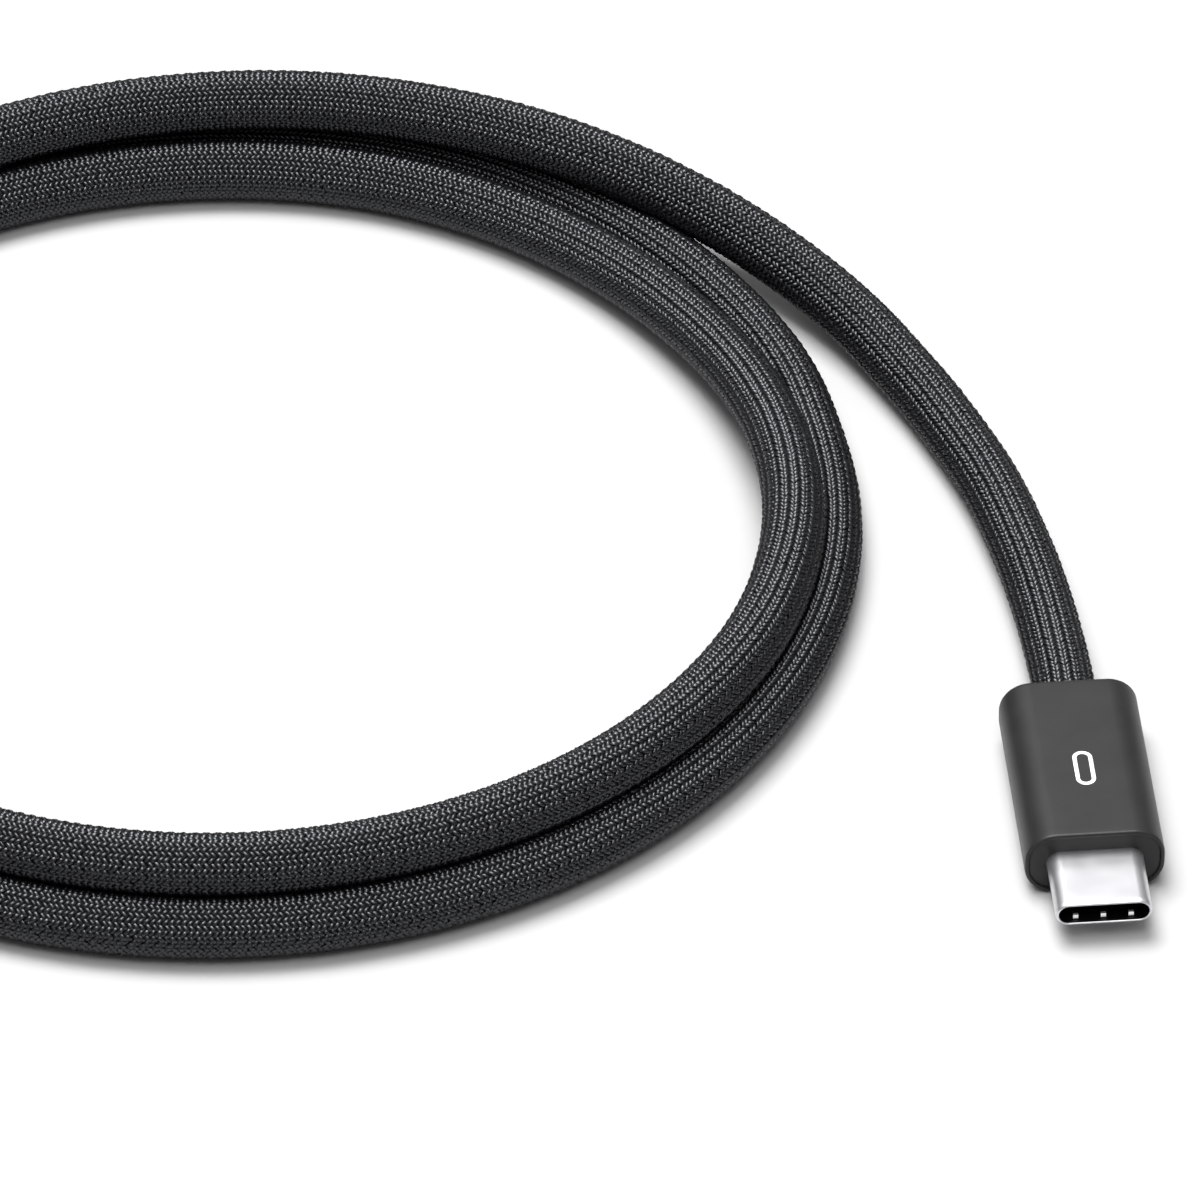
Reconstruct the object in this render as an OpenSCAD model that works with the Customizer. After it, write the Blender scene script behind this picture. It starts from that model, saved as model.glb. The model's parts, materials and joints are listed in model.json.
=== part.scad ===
// Braided USB-C charging cable with a moulded plug at each end.
// The near plug stands for the object's own frame: it lies flat on the surface with its tip
// towards -Y, its cord leaves towards +Y, and the origin is under the middle of it.
// The cord runs from it over a round coil to the far plug, which is the same assembly.

/* [Cord] */
// Outside diameter of the braided cord
cord_d = 5.4; // [4.8:0.1:5.6]
// Distance of the coil's centre to the left of the near plug
coil_x = 70.8; // [69:0.1:72]
// Distance of the coil's centre behind the near plug's middle
coil_y = 45; // [44:0.1:46]
// Radius of the inner turn's centre line where both turns lie on the surface
coil_inner_r = 51; // [50:0.1:52]
// Radius of the outer turn's centre line where both turns lie on the surface
coil_outer_r = 56.4; // [55.5:0.1:57]
// Height of the centre line of the turn that lies on top of the others
coil_top_z = 8; // [7.4:0.1:8.2]

/* [Far plug] */
// Distance of the far plug's axis to the left of the near plug's
far_plug_x = 130; // [129:0.1:131]
// Distance of the far plug's middle in front of the near plug's
far_plug_y = 41.5; // [40:0.1:44]

/* [Boot] */
// Width of the boot
boot_w = 11.9; // [11.8:0.05:12.35]
// Thickness of the boot
boot_h = 6.3; // [6.2:0.05:6.5]
// Length of the boot
boot_l = 20.5; // [20:0.1:21.5]
// Corner radius of the boot's cross-section
boot_r = 2.7; // [2.4:0.1:3]
// Wall of the boot around its cavity
boot_wall = 0.8; // [0.75:0.05:0.8]
// Depth of the nose plate's face inside the boot's front rim
nose_inset = 0.2; // [0.1:0.05:0.3]
// Thickness of the nose plate
nose_t = 0.8; // [0.6:0.1:0.9]

/* [Plug shell] */
// Width of the metal shell
shell_w = 8.25; // [8.15:0.01:8.34]
// Height of the metal shell
shell_h = 2.4; // [2.35:0.01:2.46]
// Length of shell that stands out of the boot
shell_out = 6.65; // [6.6:0.05:6.7]
// Wall of the metal shell
shell_wall = 0.3; // [0.25:0.01:0.3]

/* [Contacts] */
// Positions in a contact row
contact_count = 12; // [12:1:12]
// Distance between contacts
contact_pitch = 0.5; // [0.48:0.01:0.5]
// Width of a contact spring
contact_w = 0.2; // [0.16:0.01:0.22]
// Width of the slot that takes the socket's tongue
slot_w = 6.75; // [6.7:0.01:6.8]
// Height of the slot that takes the socket's tongue
slot_h = 0.84; // [0.8:0.01:0.86]

/* [Circuit board] */
// Width of the circuit board behind the shell
board_w = 8.4; // [8:0.1:8.8]
// Thickness of the circuit board
board_t = 0.8; // [0.7:0.05:0.8]
// Side of the square controller chip
chip_w = 3.2; // [2.8:0.1:3.2]

/* [Wires] */
// Diameter of a coaxial signal wire
signal_d = 0.7; // [0.6:0.01:0.7]
// Diameter of a power wire
power_d = 0.8; // [0.7:0.01:0.8]

/* [Hidden] */

$fn = 48;
gap = 0.02;              // assembly clearance between neighbouring pieces
cord_r = cord_d / 2;

// Stations along the plug, from the tip to the back of the boot.
tip_y = -(boot_l + shell_out) / 2;
face_y = tip_y + shell_out;
back_y = -tip_y;
nose_y = face_y + nose_inset;
cavity_y = nose_y + nose_t;
gland_l = 4.4;           // length of the bore that grips the cord
gland_y = back_y - gland_l;
gland_r = cord_r + 0.05;
housing_y = tip_y + 1.9;
slot_back_y = face_y + 0.5;
housing_back_y = face_y + 1.7;
board_y = face_y + 2.6;
shell_back_y = face_y + 4.35;
board_step_y = shell_back_y + 0.05;
can_y = cavity_y + 0.07;
can_back_y = back_y - 8.7;
board_back_y = can_back_y - 0.5;
core_end_y = gland_y - 0.05;
axis_z = boot_h / 2;

// ---- Route of the cord ----

// From the near plug to the coil: straight out, down on the surface, then up onto the coil.
LEAD = [
    [0, gland_y, axis_z], [0, back_y + 0.5, axis_z], [0, 19, cord_r + 0.25],
    [-0.4, 27, cord_r + 0.05], [-1.3, 35, cord_r + 0.05], [-3.2, 45, cord_r + 0.05],
    [-6.4, 55, cord_r + 0.15], [-11.2, 65.5, cord_r + 0.7], [-16.6, 73.5, cord_r + 1.8],
    [-23.5, 81, cord_r + 3.2], [-30, 86, cord_r + 4.5]];

// From the coil to the far plug: off the coil's left side, straight to the plug.
far_x = -far_plug_x;
TAIL = [
    [-123.3, 69.5, cord_r], [-125.4, 64.9, cord_r], [-127.2, 60.1, cord_r],
    [-128.5, 55, cord_r], [far_x + 0.6, 50, cord_r], [far_x + 0.1, 45, cord_r],
    [far_x, 40, cord_r], [far_x, 34, cord_r], [far_x, 27, cord_r], [far_x, 20, cord_r],
    [far_x, 5, cord_r + 0.02], [far_x, -10, cord_r + 0.05], [far_x, -21, cord_r + 0.25],
    [far_x, back_y - far_plug_y + 0.5, axis_z], [far_x, gland_y - far_plug_y, axis_z]];

TUBE_SIDES = 10;
RINGS_PER_SPAN = 2;

// Catmull-Rom position at u (0 to 1) between points i and i + 1 of a route.
function route_at(p, i, u) =
    let (n = len(p), a = p[max(i - 1, 0)], b = p[i], c = p[i + 1], d = p[min(i + 2, n - 1)])
    0.5 * (2 * b + (c - a) * u + (2 * a - 5 * b + 4 * c - d) * u * u
        + (3 * b - a - 3 * c + d) * u * u * u);

function unit(v) = v / norm(v);

function route_points(p) = concat(
    [for (i = [0 : len(p) - 2], k = [0 : RINGS_PER_SPAN - 1]) route_at(p, i, k / RINGS_PER_SPAN)],
    [p[len(p) - 1]]);

// One ring of tube points around centre c, across direction t. One point of each ring is
// straight below the centre, so a tube that lies on the surface touches it and no more.
function tube_ring(c, t) =
    let (side = unit(cross(t, [0, 0, 1])), up = cross(side, t))
    [for (k = [0 : TUBE_SIDES - 1])
        let (a = 360 * (k + 0.5) / TUBE_SIDES) c + cord_r * (cos(a) * side + sin(a) * up)];

module tube(route) {
    c = route_points(route);
    n = len(c);
    rings = [for (i = [0 : n - 1]) tube_ring(c[i], unit(c[min(i + 1, n - 1)] - c[max(i - 1, 0)]))];
    walls = [for (i = [0 : n - 2], k = [0 : TUBE_SIDES - 1])
        let (a = i * TUBE_SIDES + k, b = i * TUBE_SIDES + (k + 1) % TUBE_SIDES)
        each [[a, b, b + TUBE_SIDES], [a, b + TUBE_SIDES, a + TUBE_SIDES]]];
    start_cap = [for (k = [TUBE_SIDES - 1 : -1 : 0]) k];
    end_cap = [for (k = [0 : TUBE_SIDES - 1]) (n - 1) * TUBE_SIDES + k];
    polyhedron(points = [for (r = rings) each r], faces = concat(walls, [start_cap, end_cap]),
        convexity = 6);
}

// ---- Building blocks ----

// Extrudes an outline drawn in X and Z along Y, from y0 to y1.
module along_y(y0, y1) {
    translate([0, y1, 0]) rotate([90, 0, 0]) linear_extrude(y1 - y0) children();
}

// Extrudes an outline drawn in Y and Z along X, centred on x.
module across_x(x, w) {
    translate([x - w / 2, 0, 0]) rotate([90, 0, 90]) linear_extrude(w) children();
}

module rounded_rect(w, h, r) {
    square([w - 2 * r, h], center = true);
    square([w, h - 2 * r], center = true);
    for (x = [-1, 1], y = [-1, 1]) {
        translate([x * (w / 2 - r), y * (h / 2 - r)]) circle(r);
    }
}

module stadium(w, h) {
    square([w - h, h], center = true);
    for (x = [-1, 1]) {
        translate([x * (w - h) / 2, 0]) circle(d = h);
    }
}

module block(x, y0, y1, z0, z1) {
    translate([-x / 2, y0, z0]) cube([x, y1 - y0, z1 - z0]);
}

module on_axis() {
    translate([0, 0, axis_z]) children();
}

module far() {
    translate([-far_plug_x, -far_plug_y, 0]) children();
}

// ---- Plug: boot and metal shell ----

rim_t = 0.42;            // rim of the boot around the nose plate
mark_y = 1.7;
mark_l = 4.4;
mark_w = 1.7;
mark_stroke = 0.35;
mark_t = 0.05;

// An upright pill-shaped ring.
module mark_outline(grow) {
    rotate(90) difference() {
        stadium(mark_l + 2 * grow, mark_w + 2 * grow);
        stadium(mark_l - 2 * (mark_stroke + grow), mark_w - 2 * (mark_stroke + grow));
    }
}

module mark() {
    color("white") translate([0, mark_y, boot_h - mark_t]) linear_extrude(mark_t) mark_outline(0);
}

module boot() {
    color("#474747") difference() {
        on_axis() along_y(face_y, back_y) rounded_rect(boot_w, boot_h, boot_r);
        on_axis() along_y(face_y - 1, cavity_y) nose_outline(gap);
        on_axis() along_y(cavity_y - 0.1, gland_y)
            rounded_rect(boot_w - 2 * boot_wall, boot_h - 2 * boot_wall, boot_r - boot_wall);
        on_axis() along_y(gland_y - 0.1, back_y + 1) circle(gland_r);
        translate([0, mark_y, boot_h - mark_t]) linear_extrude(1) mark_outline(0.01);
    }
}

module nose_outline(grow) {
    rounded_rect(boot_w - 2 * (rim_t - grow), boot_h - 2 * (rim_t - grow), boot_r - rim_t + grow);
}

module shell_outline(grow) {
    stadium(shell_w + 2 * grow, shell_h + 2 * grow);
}

module nose_plate() {
    color("#333333") on_axis() along_y(nose_y, cavity_y) difference() {
        nose_outline(0);
        shell_outline(gap);
    }
}

module shell() {
    color("silver") on_axis() along_y(tip_y, shell_back_y) difference() {
        shell_outline(0);
        shell_outline(-shell_wall);
    }
}

// ---- Plug: contacts, springs and latch ----

contact_z = slot_h / 2 + gap;
contact_t = 0.12;
contact_tip_y = housing_y + 0.35;
contact_back_y = shell_back_y - 0.2;
lower_skipped = [5, 6];  // the lower row has no contact at these positions

// Latch arms: springs at both sides of the slot that click into the tongue's notches.
latch_x = 3.4;
latch_t = 0.2;
latch_h = 0.34;
latch_tip_y = housing_y + 0.2;
latch_root_y = housing_back_y - 0.1;
latch_root_d = 0.26;

function contact_x(i) = (i - (contact_count - 1) / 2) * contact_pitch;

module contact_housing() {
    y0 = housing_y - 1;
    y1 = housing_back_y + 1;
    latch_groove_w = 0.9;
    color("#1b1b1b") on_axis() difference() {
        along_y(housing_y, housing_back_y) shell_outline(-shell_wall - gap);
        block(slot_w, y0, slot_back_y, -slot_h / 2, slot_h / 2);
        for (side = [-1, 1]) {
            translate([side * (latch_x + 0.05), 0, 0])
                block(latch_groove_w, y0, y1, -latch_h / 2 - 0.03, latch_h / 2 + 0.03);
            for (i = [0 : contact_count - 1]) {
                translate([contact_x(i), 0, 0]) rotate([0, side > 0 ? 0 : 180, 0])
                    block(contact_w + 0.06, y0, y1, slot_h / 2 - gap, contact_z + contact_t + 0.04);
            }
        }
    }
}

// Side view of a contact spring: a straight strip with a bowed tip, in Y and Z.
module contact_profile() {
    bow_z = contact_z - 0.1;
    top_z = contact_z + contact_t;
    polygon([[contact_tip_y, top_z], [contact_back_y, top_z], [contact_back_y, contact_z],
        [contact_tip_y + 1, contact_z], [contact_tip_y + 0.6, bow_z],
        [contact_tip_y + 0.3, bow_z], [contact_tip_y, bow_z + contact_t]]);
}

module upper_contacts() {
    color("gold") on_axis() for (i = [0 : contact_count - 1]) {
        across_x(contact_x(i), contact_w) contact_profile();
    }
}

module lower_contacts() {
    color("gold") on_axis() for (i = [0 : contact_count - 1]) {
        if (len(search(i, lower_skipped)) == 0) {
            across_x(contact_x(i), contact_w) mirror([0, 1]) contact_profile();
        }
    }
}

// Spring plate that lies on the inside of the shell, with three fingers that stand up to
// touch the socket's shield and fold down at their tips. Drawn for the lower side.
module emi_spring() {
    plate_z = -shell_h / 2 + shell_wall + gap;
    plate_t = 0.1;
    plate_w = 5.7;
    finger_pitch = 2.35;
    finger_w = 0.45;
    union() {
        block(plate_w, tip_y + 1.45, housing_y - 0.05, plate_z, plate_z + plate_t);
        for (i = [-1 : 1]) {
            across_x(i * finger_pitch, finger_w)
                polygon([[tip_y + 1.6, plate_z + 0.02], [tip_y + 0.8, -0.46], [tip_y + 0.55, -0.46],
                    [tip_y + 0.49, -0.8], [tip_y + 0.58, -0.81], [tip_y + 0.63, -0.56],
                    [tip_y + 0.76, -0.56], [tip_y + 1.45, plate_z + 0.02]]);
        }
    }
}

module emi_spring_lower() {
    color("silver") on_axis() emi_spring();
}

module emi_spring_upper() {
    color("silver") on_axis() mirror([0, 0, 1]) emi_spring();
}

module latch_frame() {
    color("lightgray") on_axis() block(2 * latch_x + latch_t, housing_back_y + 0.05, board_y - 0.15,
        -latch_t / 2, latch_t / 2);
}

// Right-hand latch arm: a round root, a straight spring and a hook that points inwards.
module latch_arm() {
    inner = latch_x - latch_t / 2;
    outer = latch_x + latch_t / 2;
    translate([0, 0, -latch_h / 2]) union() {
        translate([latch_x, latch_root_y, 0]) cylinder(d = latch_root_d, h = latch_h);
        linear_extrude(latch_h)
            polygon([[outer, latch_root_y], [outer, latch_tip_y + 0.25], [latch_x, latch_tip_y],
                [inner - 0.15, latch_tip_y + 0.15], [inner - 0.25, latch_tip_y + 0.35],
                [inner - 0.15, latch_tip_y + 0.65], [inner, latch_tip_y + 0.85],
                [inner, latch_root_y]]);
    }
}

module latch_arm_right() {
    color("lightgray") on_axis() latch_arm();
}

module latch_arm_left() {
    color("lightgray") on_axis() mirror([1, 0, 0]) latch_arm();
}

// ---- Plug: circuit board and wires ----

board_tab_w = 7;         // width of the board's tab inside the shell
chip_y = 0.3;
chip_t = 0.8;
capacitor = [1, 0.5, 0.5];
capacitor_x = 2.7;
signal_x = [-1.35, -0.45, 0.45, 1.35];
signal_z = 0.82;
power_x = 0.5;
solder_y = board_back_y - 1.7;
potting_w = 4.4;
potting_z = 1.5;

module circuit_board() {
    color("#1f5c3a") on_axis() translate([0, 0, -board_t / 2]) linear_extrude(board_t) union() {
        translate([-board_tab_w / 2, board_y]) square([board_tab_w, board_step_y - board_y]);
        translate([-board_w / 2, board_step_y]) square([board_w, board_back_y - board_step_y]);
    }
}

module controller_chip() {
    color("#222222") on_axis() block(chip_w, chip_y - chip_w / 2, chip_y + chip_w / 2,
        board_t / 2 + gap, board_t / 2 + chip_t);
}

module capacitors() {
    z = (board_t + capacitor[2]) / 2 + gap;
    color("#b08a5a") on_axis() for (side = [0, 180], x = [-1, 1], y = [-1.2, 0, 1.2]) {
        rotate([0, side, 0]) translate([x * capacitor_x, y, z]) cube(capacitor, center = true);
    }
}

module wire(x, z, d, y0, y1) {
    translate([x, 0, z]) along_y(y0, y1) circle(d = d, $fn = 24);
}

module signal_wires() {
    color("#3a6ea5") on_axis() for (x = signal_x, z = [-signal_z, signal_z]) {
        wire(x, z, signal_d, solder_y, core_end_y);
    }
}

module power_wires() {
    color("#a02020") on_axis() for (x = [-power_x, power_x]) {
        wire(x, 0, power_d, board_back_y + 0.05, core_end_y);
    }
}

module wire_potting() {
    color("#c8c8b0") on_axis() difference() {
        for (side = [0, 180]) {
            rotate([0, side, 0])
                block(potting_w, solder_y + 0.05, board_back_y - 0.1, board_t / 2 + gap, potting_z);
        }
        for (x = signal_x, z = [-signal_z, signal_z]) {
            wire(x, z, signal_d, solder_y - 1, board_back_y + 1);
        }
    }
}

// ---- Plug: shielding ----

can_t = 0.2;
can_w = 10;
can_h = 4.5;
can_r = 1.8;
core_r = 2.05;           // radius of the cable's core, which the wires run in
ferrule_t = 0.25;

module shield_can_half() {
    intersection() {
        difference() {
            along_y(can_y, can_back_y) rounded_rect(can_w, can_h, can_r);
            along_y(can_y + can_t, can_back_y - can_t)
                rounded_rect(can_w - 2 * can_t, can_h - 2 * can_t, can_r - can_t);
            along_y(can_y - 1, can_y + 1) shell_outline(gap);
            along_y(can_back_y - 1, can_back_y + 1) circle(core_r);
        }
        block(can_w + 2, can_y - 1, can_back_y + 1, gap / 2, can_h);
    }
}

module shield_can_upper() {
    color("#b9b9bd") on_axis() shield_can_half();
}

module shield_can_lower() {
    color("#b9b9bd") on_axis() rotate([0, 180, 0]) shield_can_half();
}

module crimp_ferrule() {
    color("#c9c9cf") on_axis() along_y(can_back_y + 0.1, core_end_y) difference() {
        circle(core_r + ferrule_t);
        circle(core_r);
    }
}

// ---- Cord ----

module cord_lead() {
    color("#202124") tube(LEAD);
}

module cord_tail() {
    color("#202124") tube(TAIL);
}

// The coil as one ring: two turns side by side on the surface and one on top of them.
module cord_coil() {
    inner = coil_inner_r - cord_r;
    outer = coil_outer_r + cord_r;
    top = coil_top_z + cord_r;
    chamfer = 1;
    color("#202124") translate([-coil_x, coil_y, 0]) rotate_extrude($fn = 120)
        polygon([[inner + chamfer, 0], [outer - chamfer, 0], [outer, chamfer],
            [outer, cord_d - chamfer], [outer - 1.5, coil_top_z], [outer - 4.6, top],
            [inner + 3, top], [inner - 0.5, coil_top_z], [inner, chamfer]]);
}

cord_lead();
cord_coil();
cord_tail();

boot();  // boot_a
nose_plate();  // nose_plate_a
mark();  // mark_a
shell();  // shell_a
contact_housing();  // contact_housing_a
upper_contacts();  // upper_contacts_a
lower_contacts();  // lower_contacts_a
emi_spring_upper();  // emi_spring_upper_a
emi_spring_lower();  // emi_spring_lower_a
latch_frame();  // latch_frame_a
latch_arm_left();  // latch_arm_left_a
latch_arm_right();  // latch_arm_right_a
circuit_board();  // circuit_board_a
controller_chip();  // controller_chip_a
capacitors();  // capacitors_a
shield_can_upper();  // shield_can_upper_a
shield_can_lower();  // shield_can_lower_a
crimp_ferrule();  // crimp_ferrule_a
signal_wires();  // signal_wires_a
power_wires();  // power_wires_a
wire_potting();  // wire_potting_a

far() boot();  // boot_b
far() nose_plate();  // nose_plate_b
far() mark();  // mark_b
far() shell();  // shell_b
far() contact_housing();  // contact_housing_b
far() upper_contacts();  // upper_contacts_b
far() lower_contacts();  // lower_contacts_b
far() emi_spring_upper();  // emi_spring_upper_b
far() emi_spring_lower();  // emi_spring_lower_b
far() latch_frame();  // latch_frame_b
far() latch_arm_left();  // latch_arm_left_b
far() latch_arm_right();  // latch_arm_right_b
far() circuit_board();  // circuit_board_b
far() controller_chip();  // controller_chip_b
far() capacitors();  // capacitors_b
far() shield_can_upper();  // shield_can_upper_b
far() shield_can_lower();  // shield_can_lower_b
far() crimp_ferrule();  // crimp_ferrule_b
far() signal_wires();  // signal_wires_b
far() power_wires();  // power_wires_b
far() wire_potting();  // wire_potting_b
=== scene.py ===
import json
import math
import bpy
import numpy as np
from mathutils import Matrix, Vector


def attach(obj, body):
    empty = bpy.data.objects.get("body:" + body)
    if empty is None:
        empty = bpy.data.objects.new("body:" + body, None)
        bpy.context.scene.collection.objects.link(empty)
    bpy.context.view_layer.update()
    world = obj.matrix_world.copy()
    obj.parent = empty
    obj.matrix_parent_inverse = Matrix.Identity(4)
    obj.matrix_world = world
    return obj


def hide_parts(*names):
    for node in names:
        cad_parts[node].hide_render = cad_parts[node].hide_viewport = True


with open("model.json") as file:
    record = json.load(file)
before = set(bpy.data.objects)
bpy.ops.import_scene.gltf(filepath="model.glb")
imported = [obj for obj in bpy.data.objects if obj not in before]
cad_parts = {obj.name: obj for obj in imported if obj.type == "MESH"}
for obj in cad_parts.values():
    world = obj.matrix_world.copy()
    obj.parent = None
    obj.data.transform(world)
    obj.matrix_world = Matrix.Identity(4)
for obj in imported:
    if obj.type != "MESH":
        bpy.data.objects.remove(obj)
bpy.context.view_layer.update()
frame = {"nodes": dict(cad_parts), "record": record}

MM = 0.001

# ---------------------------------------------------------------- sizes, in millimetres

CORD_R = 2.7
COIL = (-70.8, 45.0)                    # the coil's middle
NEAR = np.array([0.0, 0.0, 0.0])        # the two plugs' places
FAR = np.array([-130.0, -41.5, 0.0])

# Along a plug's own axis, which runs in Y at the height AXIS_Z.
AXIS_Z = 3.15
TIP_Y = -13.575
FACE_Y = -6.925                         # the boot's front
BACK_Y = 13.575                         # the boot's back, where the cord leaves
GLAND_Y = BACK_Y - 4.4                  # the cord's end inside the boot
SHELL_BACK_Y = FACE_Y + 4.35

BOOT = (11.9, 6.3, 2.7)                 # width, height and corner radius
RIM = 0.40                              # width of the boot's front rim
CORD_HOLE_R = 2.75
SHELL = (8.25, 2.4)                     # width and height
SHELL_WALL = 0.3
MARK = (1.7, 4.4, 0.35)                 # width, length and stroke of the printed mark
MARK_Y = 1.7                            # the mark's middle
MARK_PROUD = 0.012                      # thickness of its paint

# The cord's route, as points of its middle line. First from the near plug to the coil.
LEAD = [
    (0, GLAND_Y, AXIS_Z), (0, BACK_Y + 0.5, AXIS_Z), (0, 19, 2.95), (-0.4, 27, 2.75),
    (-1.3, 35, 2.75), (-3.2, 45, 2.75), (-6.4, 55, 2.75), (-9.0, 61.1, 3.0)]

# Then the turns round the coil: angle in degrees, radius and height.
TURNS = [
    (20, 63.05, 3.4), (26, 61.6, 4.2), (32, 60.25, 5.1), (38, 58.97, 6.0), (42, 58.0, 6.7),
    (45, 57.4, 7.15), (50, 56.35, 7.8), (56, 55.7, 8.1), (65, 55.1, 8.1), (75, 54.8, 8.0),
    (90, 54.4, 7.7), (110, 53.7, 7.5), (140, 53.2, 7.8), (180, 52.2, 8.1), (215, 51.2, 7.95),
    (242, 50.35, 7.05), (280, 50.5, 7.02), (330, 50.85, 7.1), (346, 50.4, 7.1), (354, 50.0, 6.85),
    (362, 49.6, 6.45), (371, 49.2, 5.7), (380, 49.1, 4.75), (390, 49.1, 4.0), (400, 49.5, 3.35),
    (410, 50.0, 3.0), (420, 50.5, 2.8), (430, 50.9, 2.7), (470, 51.0, 2.7), (500, 51.5, 2.7),
    (540, 52.2, 2.7), (575, 53.0, 2.7), (602, 53.4, 2.7), (729, 53.4, 2.7), (738, 54.0, 2.7),
    (750, 54.3, 2.7), (762, 54.85, 2.7), (780, 56.0, 2.7), (795, 56.4, 2.7), (830, 56.5, 2.7),
    (860, 57.2, 2.7), (885, 58.4, 2.7)]
TURN_STEP = 5                           # degrees between the route's points

# Last from the coil to the far plug.
TAIL = [
    (-128.5, 55, 2.7), (-129.4, 50, 2.7), (-129.9, 45, 2.7), (-130, 40, 2.7), (-130, 34, 2.7),
    (-130, 27, 2.7), (-130, 20, 2.7), (-130, 5, 2.72), (-130, -10, 2.75), (-130, -21, 2.95),
    (-130, FAR[1] + BACK_Y + 0.5, AXIS_Z), (-130, FAR[1] + GLAND_Y, AXIS_Z)]

# ---------------------------------------------------------------- camera

CAMERA_TARGET = Vector((-0.0383, 0.0352, 0.0))
CAMERA_DISTANCE = 1.1
CAMERA_ELEVATION = math.radians(39.5)
CAMERA_TURN = math.radians(5.0)
CAMERA_LENS = 379.35

scene = bpy.context.scene
look = Vector((
    math.sin(CAMERA_TURN) * math.cos(CAMERA_ELEVATION),
    math.cos(CAMERA_TURN) * math.cos(CAMERA_ELEVATION),
    -math.sin(CAMERA_ELEVATION)))
camera_data = bpy.data.cameras.new("camera")
camera_data.sensor_width = 36.0
camera_data.lens = CAMERA_LENS
camera_data.clip_start = 0.05
camera_data.clip_end = 50.0
camera = bpy.data.objects.new("camera", camera_data)
camera.location = CAMERA_TARGET - look * CAMERA_DISTANCE
camera.rotation_mode = "QUATERNION"
camera.rotation_quaternion = look.to_track_quat("-Z", "Y")
scene.collection.objects.link(camera)
scene.camera = camera

# ---------------------------------------------------------------- material helpers


class Material:
    """A node material around one Principled BSDF."""

    def __init__(self, name, colour, roughness, metallic=0.0, specular=0.5):
        self.material = bpy.data.materials.new(name)
        self.material.use_nodes = True
        self.tree = self.material.node_tree
        self.bsdf = self.tree.nodes["Principled BSDF"]
        self.set("Base Color", (*colour, 1.0))
        self.set("Roughness", roughness)
        self.set("Metallic", metallic)
        self.set("Specular IOR Level", specular)

    def set(self, socket, value):
        self.bsdf.inputs[socket].default_value = value

    def node(self, kind, **values):
        made = self.tree.nodes.new(kind)
        for key, value in values.items():
            if key in made.inputs:
                made.inputs[key].default_value = value
            else:
                setattr(made, key, value)
        return made

    def link(self, source, target):
        self.tree.links.new(source, target)

    def coordinates(self, stretch, kind="Object"):
        """Texture coordinates, stretched along each axis."""
        source = self.node("ShaderNodeTexCoord")
        mapping = self.node("ShaderNodeMapping")
        mapping.inputs["Scale"].default_value = stretch
        self.link(source.outputs[kind], mapping.inputs["Vector"])
        return mapping.outputs["Vector"]

    def noise(self, stretch, kind="Object", detail=3.0):
        made = self.node("ShaderNodeTexNoise", Scale=1.0, Detail=detail, Roughness=0.6)
        self.link(self.coordinates(stretch, kind), made.inputs["Vector"])
        return made.outputs["Fac"]

    def vary_colour(self, factor, dark, light, low=0.3, high=0.7):
        ramp = self.node("ShaderNodeValToRGB")
        ramp.color_ramp.elements[0].position = low
        ramp.color_ramp.elements[0].color = (*dark, 1.0)
        ramp.color_ramp.elements[1].position = high
        ramp.color_ramp.elements[1].color = (*light, 1.0)
        self.link(factor, ramp.inputs["Fac"])
        self.link(ramp.outputs["Color"], self.bsdf.inputs["Base Color"])

    def vary_roughness(self, factor, low, high):
        span = self.node("ShaderNodeMapRange")
        span.inputs["From Min"].default_value = 0.3
        span.inputs["From Max"].default_value = 0.7
        span.inputs["To Min"].default_value = low
        span.inputs["To Max"].default_value = high
        self.link(factor, span.inputs["Value"])
        self.link(span.outputs["Result"], self.bsdf.inputs["Roughness"])

    def bump(self, factor, strength, distance):
        made = self.node("ShaderNodeBump", Strength=strength, Distance=distance)
        self.link(factor, made.inputs["Height"])
        self.link(made.outputs["Normal"], self.bsdf.inputs["Normal"])


def grey(value, tint=(1.0, 1.0, 1.0)):
    return tuple(value * t for t in tint)


def yarn_material():
    """Black polyester yarn: fine filaments along each stitch, with a cool sheen."""
    m = Material("braid", grey(0.004), 0.31, specular=0.62)
    m.set("Specular Tint", (0.93, 0.96, 1.0, 1.0))
    m.set("Anisotropic", 0.3)
    across = m.node("ShaderNodeTangent", direction_type="UV_MAP", uv_map="stitch")
    m.link(across.outputs["Tangent"], m.bsdf.inputs["Tangent"])
    filaments = m.noise((8.0, 1.2, 1.0), "UV", 2.0)
    m.vary_colour(m.noise((900, 900, 900)), (0.002, 0.0021, 0.0025), (0.0055, 0.0058, 0.0068))
    m.vary_roughness(filaments, 0.26, 0.35)
    m.bump(filaments, 0.35, 0.00002)
    return m.material


def core_material():
    m = Material("braid_core", grey(0.002), 0.8, specular=0.05)
    m.vary_colour(m.noise((1500, 1500, 1500)), grey(0.001), grey(0.003))
    return m.material


def boot_material():
    """Moulded satin plastic with a fine spark-eroded grain."""
    m = Material("boot", grey(0.015), 0.4, specular=0.34)
    grain = m.noise((9000, 9000, 9000), detail=2.0)
    m.vary_colour(m.noise((400, 400, 400)), (0.013, 0.013, 0.0132), (0.017, 0.017, 0.0172))
    m.vary_roughness(grain, 0.38, 0.5)
    m.bump(grain, 0.25, 0.00002)
    return m.material


def nose_material():
    m = Material("nose_plate", grey(0.015), 0.4, specular=0.4)
    grain = m.noise((8000, 8000, 8000), detail=2.0)
    m.vary_colour(m.noise((500, 500, 500)), grey(0.01), grey(0.013))
    m.bump(grain, 0.2, 0.00002)
    return m.material


def print_material():
    m = Material("mark", grey(0.85), 0.4)
    m.vary_colour(m.noise((4000, 4000, 4000)), grey(0.78), grey(0.9))
    return m.material


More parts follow.
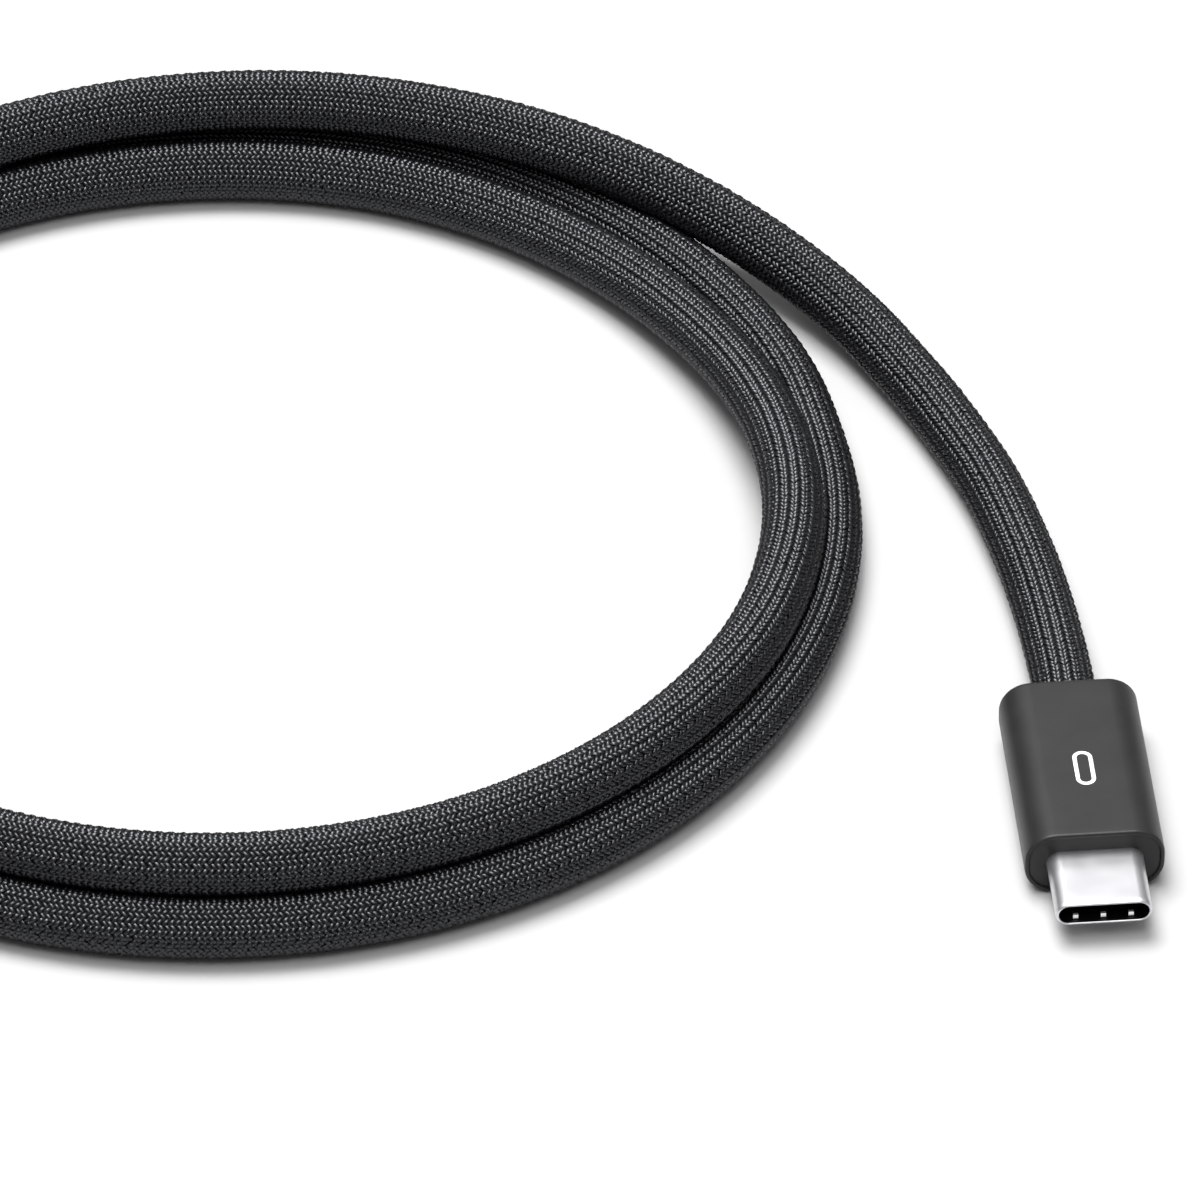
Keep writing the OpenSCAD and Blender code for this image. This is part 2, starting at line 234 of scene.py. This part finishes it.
def shell_material():
    """Satin stainless steel, with painted shade on the inside of the mouth."""
    m = Material("shell", (0.66, 0.66, 0.68), 0.36, metallic=0.93)
    m.vary_roughness(m.noise((500, 500, 500), detail=1.0), 0.34, 0.38)
    # The inner wall of the mouth is painted dark: painted shade in the recess, not a colour of the
    # steel.
    inside = m.node("ShaderNodeAttribute", attribute_name="inside")
    m.vary_colour(inside.outputs["Fac"], (0.66, 0.66, 0.68), (0.02, 0.02, 0.022), 0.4, 0.6)
    return m.material


def metal_material(name, colour, roughness, stretch):
    m = Material(name, colour, roughness, metallic=1.0)
    grain = m.noise(stretch, detail=2.0)
    m.vary_colour(grain, tuple(0.88 * c for c in colour), colour)
    m.vary_roughness(grain, roughness * 0.8, roughness * 1.3)
    return m.material


def plastic_material(name, colour, roughness, stretch=(1500, 1500, 1500)):
    m = Material(name, colour, roughness)
    mottle = m.noise(stretch)
    m.vary_colour(mottle, tuple(0.82 * c for c in colour), tuple(1.12 * c for c in colour))
    m.vary_roughness(mottle, roughness * 0.85, roughness * 1.15)
    return m.material


def board_material():
    """Green solder resist over faint copper tracks."""
    m = Material("circuit_board", (0.02, 0.16, 0.09), 0.35)
    tracks = m.node("ShaderNodeTexBrick", Scale=1.0)
    tracks.inputs["Color1"].default_value = (0.018, 0.15, 0.08, 1.0)
    tracks.inputs["Color2"].default_value = (0.024, 0.18, 0.10, 1.0)
    tracks.inputs["Mortar"].default_value = (0.05, 0.24, 0.12, 1.0)
    m.link(m.coordinates((1400, 2400, 1400)), tracks.inputs["Vector"])
    m.link(tracks.outputs["Color"], m.bsdf.inputs["Base Color"])
    return m.material


def shield_spring_material(tip_y):
    """Steel painted dark as shade deeper in the mouth, left bright at the finger tips near tip_y."""
    m = Material("shield_spring", grey(0.03), 0.3, metallic=0.8)
    place = m.node("ShaderNodeTexCoord")
    axes = m.node("ShaderNodeSeparateXYZ")
    m.link(place.outputs["Object"], axes.inputs["Vector"])
    along = m.node("ShaderNodeMapRange")
    along.inputs["From Min"].default_value = (tip_y + 0.9) * MM
    along.inputs["From Max"].default_value = (tip_y + 0.7) * MM
    m.link(axes.outputs["Y"], along.inputs["Value"])
    # Painted shade: the steel is darkened behind the finger tips, where the mouth lies in shade.
    m.vary_colour(along.outputs["Result"], grey(0.02), grey(0.92), 0.4, 0.6)
    return m.material


SLOT_MATERIALS = {
    "braid": yarn_material(),
    "boot": boot_material(),
    "nose_plate": nose_material(),
    "mark": print_material(),
    "shell": shell_material(),
    "contact_housing": plastic_material("contact_housing", (0.010, 0.010, 0.012), 0.35),
    "contacts": metal_material("contacts", (0.83, 0.62, 0.28), 0.25, (2000, 400, 2000)),
    "spring_steel": metal_material("spring_steel", (0.72, 0.72, 0.74), 0.3, (800, 3000, 800)),
    "circuit_board": board_material(),
    "chip": plastic_material("chip", (0.015, 0.015, 0.016), 0.6),
    "capacitor": plastic_material("capacitor", (0.42, 0.30, 0.18), 0.5),
    "shield_can": metal_material("shield_can", (0.55, 0.55, 0.57), 0.35, (700, 3500, 700)),
    "ferrule": metal_material("ferrule", (0.65, 0.65, 0.67), 0.4, (3000, 500, 3000)),
    "signal_wire": plastic_material("signal_wire", (0.05, 0.16, 0.38), 0.35),
    "power_wire": plastic_material("power_wire", (0.42, 0.02, 0.02), 0.35),
    "potting": plastic_material("potting", (0.62, 0.62, 0.52), 0.55),
}
CORE = core_material()


def dress(obj, material):
    obj.data.materials.clear()
    obj.data.materials.append(material)


for part in frame["record"]["subparts"]:
    obj = frame["nodes"][part["node"]]
    dress(obj, SLOT_MATERIALS[part["material_slot"]])
for end, place in (("a", NEAR), ("b", FAR)):
    for row in ("upper", "lower"):
        springs = frame["nodes"][f"emi_spring_{row}_{end}"]
        dress(springs, shield_spring_material(TIP_Y + place[1]))

# ---------------------------------------------------------------- mesh helpers


def mesh_object(name, points, faces, material):
    """A mesh from points in millimetres. It rides on the cable's body."""
    mesh = bpy.data.meshes.new(name)
    mesh.from_pydata((np.asarray(points) * MM).tolist(), [], faces)
    mesh.update()
    mesh.shade_smooth()
    obj = bpy.data.objects.new(name, mesh)
    scene.collection.objects.link(obj)
    dress(obj, material)
    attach(obj, "cable")
    return obj


def lofted(rings, close_start=False, close_end=False):
    """Points and faces of a surface through rings of equally many points."""
    n = len(rings[0])
    faces = []
    for k in range(len(rings) - 1):
        a, b = k * n, (k + 1) * n
        faces += [(a + i, a + (i + 1) % n, b + (i + 1) % n, b + i) for i in range(n)]
    if close_start:
        faces.append(tuple(range(n - 1, -1, -1)))
    if close_end:
        last = (len(rings) - 1) * n
        faces.append(tuple(last + i for i in range(n)))
    return np.concatenate(rings), faces


def rounded_ring(width, height, radius, steps=12):
    """Outline of a rounded rectangle in X and Z, counter-clockwise seen from -Y."""
    points = []
    for quarter, (sx, sz) in enumerate([(1, 1), (-1, 1), (-1, -1), (1, -1)]):
        centre = np.array([sx * (width / 2 - radius), sz * (height / 2 - radius)])
        for k in range(steps + 1):
            a = math.radians(90 * (quarter + k / steps))
            points.append(centre + radius * np.array([math.cos(a), math.sin(a)]))
    return np.array(points)


def with_straights(ring, pieces=6):
    """The same outline with points added along its straight sides."""
    out = []
    for p, q in zip(ring, np.roll(ring, -1, axis=0)):
        out.append(p)
        if np.linalg.norm(q - p) > 1.0:
            out += [p + (q - p) * k / pieces for k in range(1, pieces)]
    return np.array(out)


def at_station(outline, y, place):
    """Outline points in X and Z, put at y on a plug's axis."""
    ring = np.column_stack([outline[:, 0], np.full(len(outline), y), outline[:, 1] + AXIS_Z])
    return ring + place


def fillet(y0, inset0, y1, inset1, steps=6):
    """Stations (y, inset) along a quarter ellipse that leaves (y0, inset0) along Y."""
    stations = []
    for k in range(steps + 1):
        a = math.pi / 2 * k / steps
        stations.append((
            y0 + (y1 - y0) * math.sin(a),
            inset0 + (inset1 - inset0) * (1 - math.cos(a))))
    return stations


# ---------------------------------------------------------------- the cord's route


def coil_point(angle, radius, height):
    a = math.radians(angle)
    return (COIL[0] + radius * math.cos(a), COIL[1] + radius * math.sin(a), height)


def route_controls():
    angles, radii, heights = np.array(TURNS).T
    wanted = np.arange(angles[0], angles[-1] + 0.1, TURN_STEP)
    fine = np.arange(angles[0] - 10, angles[-1] + 10)
    window = np.hanning(13)
    window /= window.sum()
    turns = [
        np.interp(wanted, fine, np.convolve(np.interp(fine, angles, v), window, "same"))
        for v in (radii, heights)]
    return LEAD + [coil_point(a, r, z) for a, r, z in zip(wanted, *turns)] + TAIL


def smooth_line(controls, spacing):
    """Catmull-Rom curve through the control points, at even spacing."""
    p = np.array(controls)
    p = np.vstack([2 * p[0] - p[1], p, 2 * p[-1] - p[-2]])
    u = np.linspace(0, 1, 24, endpoint=False)[:, None]
    spans = []
    for a, b, c, d in zip(p, p[1:], p[2:], p[3:]):
        spans.append(0.5 * (
            2 * b + (c - a) * u + (2 * a - 5 * b + 4 * c - d) * u ** 2
            + (3 * b - a - 3 * c + d) * u ** 3))
    line = np.vstack([*spans, p[-2:-1]])
    along = np.concatenate([[0], np.cumsum(np.linalg.norm(np.diff(line, axis=0), axis=1))])
    even = np.linspace(0, along[-1], int(along[-1] / spacing) + 1)
    return np.column_stack([np.interp(even, along, line[:, k]) for k in range(3)]), even


LINE, ALONG = smooth_line(route_controls(), 0.25)
TANGENT = np.gradient(LINE, axis=0)
TANGENT /= np.linalg.norm(TANGENT, axis=1, keepdims=True)
SIDE = np.cross(TANGENT, [0, 0, 1])
SIDE /= np.linalg.norm(SIDE, axis=1, keepdims=True)
UP = np.cross(SIDE, TANGENT)


def on_cord(along, angle, radius):
    """Points at a distance along the cord, an angle round it and a radius from its middle."""
    def at(values):
        return np.stack([np.interp(along, ALONG, values[:, k]) for k in range(3)], axis=-1)
    c, s = np.cos(angle)[..., None], np.sin(angle)[..., None]
    return at(LINE) + radius[..., None] * (c * at(SIDE) + s * at(UP))


# ---------------------------------------------------------------- the cord: core and braid

YARNS = 32                  # yarns in each direction
STITCH_PITCH = 0.515        # distance between stitches along a stripe
STITCH_REACH = 1.36         # half length of a stitch, in yarn crossings, with its tucked ends
STITCH_HALF_W = 0.172       # half width of a stitch
STITCH_ENDS_DROP = 0.30     # how far a stitch's ends dive under the yarns they cross
STITCH_ENDS_POWER = 3.6     # how late along the stitch they dive
STITCH_SIDES_DROP = 0.18    # how far its sides round off
STITCH_U = np.array([-1, -0.6, 0, 0.6, 1])      # stations along a stitch
STITCH_V = np.array([-1, 0, 1])                 # and across it
LOW_YARN_DROP = 0.06        # every second yarn lies a little lower
BRAID_R = CORD_R + 0.06     # at the top of a stitch: the braid swells a little past its size
CORE_R = CORD_R - 0.22      # the dark jacket under the braid
CORE_SIDES = 28
HIDDEN_IN_BOOT = 4.0        # the braid starts this far along the cord, inside the boot
BRAID_PIECES = 5
COLUMN = math.pi / YARNS    # angle between neighbouring crossings
ROW = STITCH_PITCH / 2      # distance along the cord between neighbouring crossings
# Spread of each stitch's own place, width, lift, roll and pitch.
STITCH_SPREAD = [0.03, 0.02, 0.008, 0.02, 0.025]
RNG = np.random.default_rng(7)


def braid_stitches(rows):
    """(distance along, angle, direction, low) of each stitch in some rows of the braid.

    The braid is two over, two under: stripes of stitches that lean one way alternate round
    the cord with stripes that lean the other way."""
    stripes = np.arange(YARNS // 2)
    m, k = (v.ravel() for v in np.meshgrid(rows, stripes, indexing="ij"))
    out = []
    for lean, shift in ((1, 0.25), (-1, -0.25)):
        column = 4 * k + (0.5 if lean > 0 else 2.5)
        low = (m + (lean < 0)) % 2
        out.append(np.column_stack([
            (m + shift) * STITCH_PITCH, column * COLUMN, np.full(len(m), lean), low]))
    return np.vstack(out)


def braid_mesh(name, rows):
    """The stitches of some rows, each one a small domed patch of yarn."""
    stitches = braid_stitches(rows)
    n = len(stitches)
    jitter = RNG.normal(size=(n, len(STITCH_SPREAD))) * STITCH_SPREAD
    place, width, lift, roll, pitch = jitter.T[:, :, None, None]
    s, angle, lean, low = (stitches[:, k, None, None] for k in range(4))
    u = STITCH_U[None, :, None]
    v = STITCH_V[None, None, :]
    # Along the stitch one crossing is a column round the cord and a row along it.
    step = np.hypot(COLUMN * CORD_R, ROW)
    across = v * STITCH_HALF_W * (1 + width - 0.06 * low)
    along = s + place + u * STITCH_REACH * ROW - across * lean * COLUMN * CORD_R / step
    round_ = angle + lean * u * STITCH_REACH * COLUMN + across * (ROW / step) / CORD_R
    radius = (
        BRAID_R + lift + roll * v + pitch * u - LOW_YARN_DROP * low
        - STITCH_ENDS_DROP * np.abs(u) ** STITCH_ENDS_POWER - STITCH_SIDES_DROP * v ** 2)
    points = on_cord(along, round_, radius).reshape(-1, 3)
    # Every patch is a grid of quads. Those of one lean are turned over to face outwards.
    rows_of, across_of = len(STITCH_U), len(STITCH_V)
    base = rows_of * across_of * np.arange(n)[:, None, None]
    corner = (across_of * np.arange(rows_of - 1)[:, None] + np.arange(across_of - 1)).reshape(-1)
    square = np.array([0, across_of, across_of + 1, 1])
    quads = (base + (corner[:, None] + square)[None]).reshape(-1, 4)
    flip = np.repeat(stitches[:, 2] < 0, len(corner))
    quads[flip] = quads[flip][:, ::-1]
    obj = mesh_object(name, points, quads.tolist(), SLOT_MATERIALS["braid"])
    uv = np.stack(np.broadcast_arrays(0.5 * v + 120 * lift, 0.5 * u + low), -1)
    layer = obj.data.uv_layers.new(name="stitch")
    layer.data.foreach_set("uv", uv.reshape(-1, 2)[quads.reshape(-1)].ravel().astype(np.float32))
    return obj


def core_mesh():
    """The jacket under the braid, and the points its tube follows."""
    stations = np.append(np.arange(0, ALONG[-1], 1.0), ALONG[-1])
    angles = np.linspace(0, 2 * math.pi, CORE_SIDES, endpoint=False)
    s, a = np.meshgrid(stations, angles, indexing="ij")
    rings = on_cord(s, a, np.full(s.shape, CORE_R))
    points, faces = lofted(list(rings), close_start=True, close_end=True)
    obj = mesh_object("cord", points, faces, CORE)
    centres = np.column_stack([np.interp(stations, ALONG, LINE[:, k]) for k in range(3)])
    return obj, centres


cord, cord_centres = core_mesh()
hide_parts("cord_lead", "cord_coil", "cord_tail")
all_rows = np.arange(
    math.ceil(HIDDEN_IN_BOOT / STITCH_PITCH), int((ALONG[-1] - HIDDEN_IN_BOOT) / STITCH_PITCH))
braids = [
    braid_mesh(f"braid_{k + 1}", rows)
    for k, rows in enumerate(np.array_split(all_rows, BRAID_PIECES))]

# ---------------------------------------------------------------- plugs


def boot_mesh(name, place):
    """The boot with rounded edges, its rim, its recess for the nose plate and its cord hole."""
    width, height, radius = BOOT
    back_inset = 0.45

    def section(inset):
        return with_straights(rounded_ring(
            width - 2 * inset, height - 2 * inset, max(radius - inset, 0.2)))

    stations = [(FACE_Y + 0.98, RIM), (FACE_Y + 0.12, RIM)]
    stations += fillet(FACE_Y + 0.12, RIM, FACE_Y, RIM - 0.1, 4)[1:]
    stations += [(y, i) for y, i in reversed(fillet(FACE_Y + 0.22, 0.0, FACE_Y, 0.18, 6))]
    stations += [(FACE_Y + 0.8, 0.0), (BACK_Y - 1.2, 0.0)]
    stations += fillet(BACK_Y - 0.5, 0.0, BACK_Y, back_inset, 7)
    rings = [at_station(section(inset), y, place) for y, inset in stations]
    last = section(back_inset)
    spin = np.arctan2(last[:, 1], last[:, 0])
    circle = np.column_stack([np.cos(spin), np.sin(spin)])
    hole = [(0.0, 0.23), (0.06, 0.08), (0.22, 0.0), (BACK_Y - GLAND_Y, 0.0)]
    for depth, flare in hole:
        rings.append(at_station(circle * (CORD_HOLE_R + flare), BACK_Y - depth, place))
    points, faces = lofted(rings)
    return mesh_object(name, points, faces, SLOT_MATERIALS["boot"])


def shell_mesh(name, place):
    """The metal shell as a tube with a rolled front edge."""
    width, height = SHELL

    def section(inset):
        w, h = width - 2 * inset, height - 2 * inset
        return with_straights(rounded_ring(w, h, h / 2 - 1e-4, 16))

    stations = [(SHELL_BACK_Y, 0.0), (FACE_Y + 0.4, 0.0), (FACE_Y - 0.4, 0.0), (TIP_Y + 1.2, 0.0)]
    stations += fillet(TIP_Y + 0.5, 0.0, TIP_Y, 0.22, 8)
    stations += [
        (TIP_Y + 0.03, SHELL_WALL - 0.02), (TIP_Y + 0.12, SHELL_WALL), (SHELL_BACK_Y, SHELL_WALL)]
    rings = [at_station(section(inset), y, place) for y, inset in stations]
    # Marks the inner wall, which the shell material paints dark as painted shade.
    inside = np.repeat([float(inset == SHELL_WALL) for _, inset in stations], len(rings[0]))
    points, faces = lofted(rings)
    n = len(rings[0])
    last = len(points) - n
    faces += [(last + i, last + (i + 1) % n, (i + 1) % n, i) for i in range(n)]
    obj = mesh_object(name, points, faces, SLOT_MATERIALS["shell"])
    obj.data.attributes.new("inside", "FLOAT", "POINT").data.foreach_set("value", inside)
    return obj


def mark_mesh(name, place):
    """The printed mark: a ring of paint, proud of the boot by its own thickness."""
    width, length, stroke = MARK

    def section(inset, z):
        w = width - 2 * inset
        ring = rounded_ring(w, length - 2 * inset, w / 2 - 1e-4, 16)
        return np.column_stack([ring[:, 0], ring[:, 1] + MARK_Y, np.full(len(ring), z)]) + place

    low, shoulder, top = BOOT[1] - 0.04, BOOT[1] + 0.008, BOOT[1] + MARK_PROUD
    edge = 0.01
    rings = [
        section(0, low), section(0, shoulder), section(edge, top),
        section(stroke - edge, top), section(stroke, shoulder), section(stroke, low)]
    points, faces = lofted([*rings, rings[0]])
    return mesh_object(name, points, faces, SLOT_MATERIALS["mark"])


for end, place in (("a", NEAR), ("b", FAR)):
    for piece, make in (("boot", boot_mesh), ("shell", shell_mesh), ("mark", mark_mesh)):
        node = f"{piece}_{end}"
        make(f"{piece}_look_{end}", place)
        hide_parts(node)

# ---------------------------------------------------------------- floor and light


def floor():
    """A wide pale floor, a hair below the object so that the two never coincide."""
    mesh = bpy.data.meshes.new("floor")
    size = 6.0
    mesh.from_pydata(
        [(-size, -size, 0), (size, -size, 0), (size, size, 0), (-size, size, 0)], [], [(0, 1, 2, 3)])
    obj = bpy.data.objects.new("floor", mesh)
    scene.collection.objects.link(obj)
    m = Material("floor", grey(0.45), 0.8, specular=0.1)
    obj.data.materials.append(m.material)
    obj.location.z = -0.00002


def softbox(name, azimuth, elevation, distance, size, power, target=(-0.05, 0.04, 0.0)):
    """An area light that looks at target. Azimuth 0 is behind the object, 90 to its right."""
    a, e = math.radians(azimuth), math.radians(elevation)
    away = Vector((math.sin(a) * math.cos(e), math.cos(a) * math.cos(e), math.sin(e)))
    data = bpy.data.lights.new(name, "AREA")
    data.shape = "RECTANGLE"
    data.size, data.size_y = size
    data.energy = power
    obj = bpy.data.objects.new(name, data)
    obj.location = Vector(target) + away * distance
    obj.rotation_mode = "QUATERNION"
    obj.rotation_quaternion = away.to_track_quat("Z", "Y")
    scene.collection.objects.link(obj)
    return obj


def studio_world():
    """A pale dome that is dark towards the horizon."""
    world = bpy.data.worlds.new("studio")
    world.use_nodes = True
    nodes, links = world.node_tree.nodes, world.node_tree.links
    direction = nodes.new("ShaderNodeTexCoord")
    height = nodes.new("ShaderNodeSeparateXYZ")
    strength = nodes.new("ShaderNodeMapRange")
    for socket, value in (("From Min", 0.25), ("From Max", 0.65), ("To Min", 0.1), ("To Max", 0.52)):
        strength.inputs[socket].default_value = value
    links.new(direction.outputs["Generated"], height.inputs["Vector"])
    links.new(height.outputs["Z"], strength.inputs["Value"])
    links.new(strength.outputs["Result"], nodes["Background"].inputs["Strength"])
    nodes["Background"].inputs["Color"].default_value = (1.0, 1.0, 1.0, 1.0)
    scene.world = world


floor()
softbox("key", -42, 78, 1.2, (0.7, 0.7), 26)
softbox("front_key", 178, 62, 0.9, (0.35, 0.35), 3)
softbox("back_panel", -14, 40, 1.3, (1.2, 0.7), 1.2)
studio_world()
scene.view_settings.view_transform = "Standard"
scene.view_settings.look = "None"
